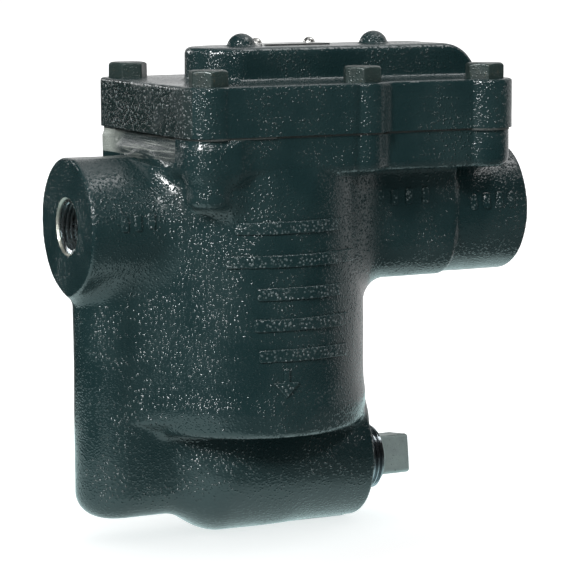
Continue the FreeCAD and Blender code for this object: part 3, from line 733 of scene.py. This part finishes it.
def cast_paint(name, grain, colour, lighter, rough, scraped=0.0, scale=740, painted_glints=0.0):
    """Gloss paint over sand-cast iron: fine orange peel, sand grains with optional painted glints on their
    tops and, if scraped, tool marks down to the metal with a paler tone towards the back.
    """
    m, nt, bsdf = material(name)
    coords = node(nt, "ShaderNodeTexCoord")
    patch = noise(nt, coords, 45, 3.0)
    fine = noise(nt, coords, 1500, 2.0, rough=0.6)
    peel = noise(nt, coords, 800, 1.0)
    grains = pimples(nt, coords, scale, 0.46)
    small = pimples(nt, coords, 1000, 0.5)
    tint = mix_colour(nt, remap(nt, patch, 0.35, 0.7, 0.0, 1.0), colour, lighter)
    gloss = remap(nt, patch, 0.3, 0.7, rough * 0.85, rough * 1.3)
    bsdf.inputs["IOR"].default_value = 1.5
    level = remap(nt, patch, 0.42, 0.6, 0.3, 1.0)
    a = bump(nt, peel, 0.00006 * grain)
    b = bump(nt, fine, 0.00004 * grain, a)
    c = bump(nt, math_node(nt, "MULTIPLY", grains, level), 0.00033 * grain, b)
    e = bump(nt, small, 0.00009 * grain, c)
    # Grain tops painted a paler grey: painted glints.
    if painted_glints:
        tint = mix_colour(nt, math_node(nt, "MULTIPLY", grains, painted_glints), tint, (0.2, 0.24, 0.24))
    if scraped:
        lines = noise(nt, coords, 1100, 3.0, (1, 0.03, 1), 0.6)
        clouds = noise(nt, coords, 120, 2.0)
        grooves = remap(nt, lines, 0.5, 0.64, 0.0, 1.0)
        streaks = math_node(nt, "MULTIPLY", grooves, remap(nt, clouds, 0.35, 0.6, 0.15, 0.6))
        split = nt.nodes.new("ShaderNodeSeparateXYZ")
        nt.links.new(coords.outputs["Object"], split.inputs[0])
        # Paler tone towards the back (+y) of the scraped face, mixed with the tool-mark streaks.
        backwards = remap(nt, split.outputs[1], 0.022, 0.034, 0.0, 0.85)
        paler_toward_back = math_node(nt, "MULTIPLY", backwards, remap(nt, lines, 0.3, 0.5, 0.5, 1.0))
        streaks_and_paler_back = math_node(nt, "MAXIMUM", streaks, paler_toward_back)
        tint = mix_colour(nt, streaks_and_paler_back, tint, (0.19, 0.21, 0.19))
        nt.links.new(math_node(nt, "MULTIPLY", streaks, scraped), bsdf.inputs["Metallic"])
        e = bump(nt, lines, 0.00015, e)
    nt.links.new(tint, bsdf.inputs["Base Color"])
    nt.links.new(gloss, bsdf.inputs["Roughness"])
    nt.links.new(e, bsdf.inputs["Normal"])
    return m


def cut_metal(name, colour, rough, stretch, scale, depth, paint=0.0):
    """Machined or drawn metal with tool marks along one direction."""
    m, nt, bsdf = material(name)
    coords = node(nt, "ShaderNodeTexCoord")
    lines = noise(nt, coords, scale, 3.0, stretch, 0.65)
    stain = noise(nt, coords, 90, 4.0, (1, 1, 1), 0.6)
    dark = tuple(c * 0.45 for c in colour)
    tint = mix_colour(nt, remap(nt, stain, 0.45, 0.72, 0.0, 1.0), colour, dark)
    nt.links.new(tint, bsdf.inputs["Base Color"])
    bsdf.inputs["Metallic"].default_value = 1.0 - paint
    nt.links.new(remap(nt, stain, 0.3, 0.7, rough * 0.8, rough * 1.3), bsdf.inputs["Roughness"])
    a = bump(nt, lines, depth)
    b = bump(nt, noise(nt, coords, 1600, 2.0), depth * 0.3, a)
    nt.links.new(b, bsdf.inputs["Normal"])
    return m


def worn_steel(name, colour, rough, metallic=1.0, pits=0.00006, spots=(0.05, 0.05, 0.045)):
    """Plain steel with faint pits, smudges and darker spots."""
    m, nt, bsdf = material(name)
    coords = node(nt, "ShaderNodeTexCoord")
    cloud = noise(nt, coords, 130, 4.0)
    speck = noise(nt, coords, 900, 3.0)
    grains = pimples(nt, coords, 900, 0.4)
    base = mix_colour(nt, remap(nt, cloud, 0.35, 0.7, 0.0, 1.0), colour, tuple(c * 0.7 for c in colour))
    tint = mix_colour(nt, remap(nt, speck, 0.62, 0.74, 0.0, 0.8), base, spots)
    nt.links.new(tint, bsdf.inputs["Base Color"])
    bsdf.inputs["Metallic"].default_value = metallic
    nt.links.new(remap(nt, cloud, 0.3, 0.7, rough * 0.8, rough * 1.3), bsdf.inputs["Roughness"])
    a = bump(nt, speck, pits)
    b = bump(nt, grains, pits, a)
    nt.links.new(b, bsdf.inputs["Normal"])
    return m


def dress(obj, mat):
    obj.data.materials.clear()
    obj.data.materials.append(mat)


BLACK = (0.0046, 0.0138, 0.0148)
BLUISH = (0.0080, 0.0195, 0.0205)
PAINT = cast_paint("black_cast_paint", 1.0, BLACK, BLUISH, 0.2)
# The bars and pads have painted glints on their grain tops.
RELIEF_PAINT = cast_paint("relief_cast_paint", 1.3, BLACK, BLUISH, 0.2, painted_glints=0.32)
DULL = (0.012, 0.02, 0.02)
# The cap's left face has painted glints on its grain tops, over a real coarse grain.
ROUGH_PAINT = cast_paint("coarse_cast_paint", 1.9, (0.005, 0.011, 0.011), DULL, 0.26, scale=520, painted_glints=0.24)
SKIMMED = cast_paint("skimmed_cast_paint", 0.8, (0.004, 0.012, 0.013), DULL, 0.5, 0.3)
MACHINED = cut_metal("machined_iron", (0.30, 0.31, 0.27), 0.34, (1, 0.03, 1), 1500, 0.00022, 0.25)
THREADS = cut_metal("cut_thread", (0.40, 0.45, 0.46), 0.26, (0.2, 1, 1), 1400, 0.00006)
BOLTS = worn_steel("dark_bolt_steel", (0.017, 0.030, 0.028), 0.33, 0.25, 0.0001, (0.05, 0.05, 0.035))
PLUG = worn_steel("plug_steel", (0.31, 0.375, 0.365), 0.45, 0.55, 0.00008)
PLUG_THREAD = cut_metal("plug_thread", (0.30, 0.33, 0.35), 0.22, (0.2, 1, 1), 1400, 0.00005)
SHEET = worn_steel("gasket_sheet", (0.016, 0.022, 0.021), 0.6, 0.0, 0.0002, (0.06, 0.07, 0.06))
PLATE = cut_metal("plate_metal", (0.62, 0.63, 0.62), 0.3, (0.04, 1, 1), 1300, 0.00003)
BRIGHT = worn_steel("screw_metal", (0.55, 0.55, 0.53), 0.28)
SCREEN = cut_metal("screen_steel", (0.50, 0.51, 0.50), 0.3, (1, 0.1, 0.1), 1500, 0.00004)
TUBE = cut_metal("tube_steel", (0.42, 0.42, 0.41), 0.32, (1, 1, 0.05), 1300, 0.00004)
VALVE = cut_metal("valve_steel", (0.62, 0.62, 0.61), 0.16, (1, 1, 0.1), 1800, 0.00002)
COPPER = worn_steel("copper_ring", (0.62, 0.30, 0.17), 0.35, 1.0, 0.00004, (0.2, 0.08, 0.04))
LEVER = cut_metal("lever_steel", (0.52, 0.52, 0.51), 0.3, (0.06, 1, 1), 1500, 0.00004)
BUCKET = cut_metal("bucket_steel", (0.50, 0.51, 0.51), 0.28, (1, 1, 0.03), 900, 0.00005)
WEIGHT = worn_steel("cast_weight", (0.16, 0.155, 0.15), 0.6, 0.6, 0.00014)

FINISH = {
    "cap_gasket": SHEET, "nameplate": PLATE, "nameplate_screws": BRIGHT,
    "strainer_screen": SCREEN, "inlet_tube": TUBE, "valve_seat": VALVE, "seat_gasket": COPPER,
    "lever_bracket": LEVER, "bracket_screws": BRIGHT, "fulcrum_pin": VALVE,
    "pin_retainer": LEVER, "lever_arm": LEVER, "valve_head": VALVE, "bucket": BUCKET,
    "bucket_clip": LEVER, "clip_rivets": BRIGHT, "bucket_bail": LEVER, "bucket_weight": WEIGHT,
}
for name, finish in FINISH.items():
    for slot in NODES[name].material_slots:
        slot.material = finish

dress(inlet_thread, THREADS)
dress(outlet_thread, THREADS)
dress(bolts, BOLTS)
for relief in reliefs:
    dress(relief, RELIEF_PAINT)
dress(plug, PLUG)
plug.data.materials.append(PLUG_THREAD)
for p in plug.data.polygons:
    c = p.center / MM
    if c.x < 132.4 and math.hypot(c.y, c.z - PLUG_Z) > 11.5:
        p.material_index = 1


def split_finish(obj, *tests):
    """Give each face the finish of the first test it passes, or the paint."""
    dress(obj, PAINT)
    for finish, test in tests:
        obj.data.materials.append(finish)
    mesh = obj.data
    n = len(mesh.polygons)
    centre = np.empty(n * 3, np.float32)
    normal = np.empty(n * 3, np.float32)
    mesh.polygons.foreach_get("center", centre)
    mesh.polygons.foreach_get("normal", normal)
    c = centre.reshape(-1, 3) / MM
    v = normal.reshape(-1, 3)
    index = np.zeros(n, np.int32)
    for k, (finish, test) in enumerate(tests):
        index[(index == 0) & test(c, v)] = k + 1
    mesh.polygons.foreach_set("material_index", index)


def in_notch(c, v):
    box = (c[:, 0] < NOTCH_X + 0.5) & (c[:, 1] > -29.5) & (c[:, 2] > 25.7)
    return box & (c[:, 0] > 26)


def in_bore(c, v):
    ports = np.hypot(c[:, 1], c[:, 2]) < 11.4
    hollow = np.hypot(c[:, 0] - CHAMBER_X, c[:, 1]) < 37.7
    return (ports | hollow) & (c[:, 2] < 34) & (c[:, 2] > -76)


def on_joint(c, v):
    return (c[:, 2] > BODY_TOP - 0.05) & (v[:, 2] > 0.9)


def cap_under(c, v):
    return (c[:, 2] < CAP_BOTTOM + 0.05) & (v[:, 2] < -0.9)


def cap_left(c, v):
    return (c[:, 0] < 33.2) & (v[:, 0] < -0.5)


split_finish(body, (SKIMMED, in_notch), (MACHINED, in_bore), (MACHINED, on_joint))
split_finish(cap, (MACHINED, cap_under), (ROUGH_PAINT, cap_left))


# ---------------------------------------------------------------- stage, lights and camera
def floor_material(name, albedo, tint, measure, ramp):
    """Pale floor that glows more with distance from the trap, or further along one direction: the dim glow
    near the trap is a painted shadow, and the card's glow a painted reflection.
    """
    m, nt, bsdf = material(name)
    bsdf.inputs["Base Color"].default_value = (albedo, albedo, albedo, 1)
    bsdf.inputs["Roughness"].default_value = 0.9
    bsdf.inputs["Emission Color"].default_value = (*tint, 1)
    coords = node(nt, "ShaderNodeTexCoord")
    shift = node(nt, "ShaderNodeVectorMath", operation="SUBTRACT")
    nt.links.new(coords.outputs["Object"], shift.inputs[0])
    shift.inputs[1].default_value = (0.075, 0, CAD_BOX[0][2])
    reach = node(nt, "ShaderNodeVectorMath", operation=measure)
    nt.links.new(shift.outputs[0], reach.inputs[0])
    if measure == "DOT_PRODUCT":
        reach.inputs[1].default_value = (-0.4, 0.92, 0)
    nt.links.new(remap(nt, reach.outputs["Value"], *ramp), bsdf.inputs["Emission Strength"])
    return m


def floor_sheet(name, size, lift, *look):
    """Flat square floor piece under the trap."""
    bm = bmesh.new()
    bmesh.ops.create_grid(bm, x_segments=1, y_segments=1, size=size)
    bm.transform(Matrix.Translation((0.095, 0, CAD_BOX[0][2] - lift)))
    mesh = bpy.data.meshes.new(name)
    bm.to_mesh(mesh)
    bm.free()
    obj = link(bpy.data.objects.new(name, mesh))
    obj.data.materials.append(floor_material(name + "_look", *look))
    return obj


AZIMUTH = math.radians(26.378)
TILT = math.radians(7.496)
ROLL = math.radians(0.196)
AWAY = Vector((math.sin(AZIMUTH + 0.5), math.cos(AZIMUTH + 0.5), 0))
# The floor's glow ramps from 0.63 within 5 cm of the trap to 1 at 30 cm: a painted shadow around its base.
floor = floor_sheet("floor", 8.0, 0.0003, 0.8, (1, 1, 1), "LENGTH", (0.05, 0.3, 0.63, 1.0))
floor.visible_glossy = False
# A card seen only in reflections, glowing teal, dim towards the front and bright towards the back: a painted
# reflection of the floor.
painted_reflection_glow = (-0.075, -0.05, 0.12, 1.3)
card = floor_sheet("painted_reflection_card", 0.25, 0.0002, 0.02, (0.75, 1, 1), "DOT_PRODUCT", painted_reflection_glow)
card.visible_camera = False
card.visible_diffuse = False
card.visible_shadow = False
EYE = Vector((-0.379147, -0.955829, 0.110747))
LENS = 167.494
right = Vector((math.cos(AZIMUTH), -math.sin(AZIMUTH), 0))
forward = Vector((math.sin(AZIMUTH) * math.cos(TILT), math.cos(AZIMUTH) * math.cos(TILT), -math.sin(TILT)))
up = right.cross(forward)
cam_right = right * math.cos(ROLL) - up * math.sin(ROLL)
cam_up = right * math.sin(ROLL) + up * math.cos(ROLL)
camera = bpy.data.objects.new("camera", bpy.data.cameras.new("camera"))
link(camera)
camera.matrix_world = Matrix(
    [[cam_right[i], cam_up[i], -forward[i], EYE[i]] for i in range(3)] + [[0, 0, 0, 1]]
)
camera.data.sensor_width = 36
camera.data.lens = LENS
camera.data.clip_start = 0.01
camera.data.clip_end = 20
bpy.context.scene.camera = camera
bpy.context.scene.view_settings.view_transform = "Standard"
CENTRE = Vector((0.095, 0, -0.02))


def area_light(name, turn, height, distance, size, radiance):
    """Softbox at an angle left (-) or right (+) of the main view, in degrees, aimed at the trap."""
    a = AZIMUTH - math.radians(turn)
    side = Vector((-math.sin(a), -math.cos(a), 0))
    rise = math.radians(height)
    spot = CENTRE + distance * (side * math.cos(rise) + Vector((0, 0, math.sin(rise))))
    light = bpy.data.lights.new(name, "AREA")
    light.shape = "RECTANGLE"
    light.size, light.size_y = size
    light.energy = radiance * math.pi * size[0] * size[1]
    obj = bpy.data.objects.new(name, light)
    link(obj)
    obj.location = spot
    obj.rotation_euler = (CENTRE - spot).to_track_quat("-Z", "Y").to_euler()
    return obj


def studio_world():
    """White room as seen; in reflections it is white behind and above the trap and dark in front."""
    world = bpy.data.worlds.new("studio")
    world.use_nodes = True
    nt = world.node_tree
    nt.nodes.clear()
    out = nt.nodes.new("ShaderNodeOutputWorld")
    back = nt.nodes.new("ShaderNodeBackground")
    coords = nt.nodes.new("ShaderNodeTexCoord")
    path = nt.nodes.new("ShaderNodeLightPath")
    dot = node(nt, "ShaderNodeVectorMath", operation="DOT_PRODUCT")
    dot.inputs[1].default_value = (AWAY + Vector((0, 0, 0.12))).normalized()
    nt.links.new(coords.outputs["Generated"], dot.inputs[0])
    level = remap(nt, dot.outputs["Value"], 0.5, 0.85, 0.02, 1.1)
    white = math_node(nt, "MULTIPLY", path.outputs["Is Camera Ray"], 1.3)
    seen = math_node(nt, "MAXIMUM", level, white)
    fill = math_node(nt, "MULTIPLY", path.outputs["Is Diffuse Ray"], 0.5)
    seen = math_node(nt, "MAXIMUM", seen, fill)
    nt.links.new(seen, back.inputs["Strength"])
    nt.links.new(back.outputs[0], out.inputs[0])
    bpy.context.scene.world = world


studio_world()
shaded = bpy.data.collections.new("not_lit_by_softboxes")
shaded.objects.link(floor)
shaded.collection_objects[0].light_linking.link_state = "EXCLUDE"
for softbox in (
    area_light("key", -32, 30, 1.3, (0.2, 0.34), 115.0),
    area_light("front", 20, 34, 1.3, (0.14, 0.14), 90.0),
    area_light("ceiling", 98, 62, 1.3, (0.6, 0.5), 5.0),
    area_light("left_back", -127, 18, 1.3, (0.3, 0.25), 12.0),
):
    softbox.light_linking.receiver_collection = shaded
area_light("top", 160, 78, 1.4, (1.2, 1.2), 0.8)
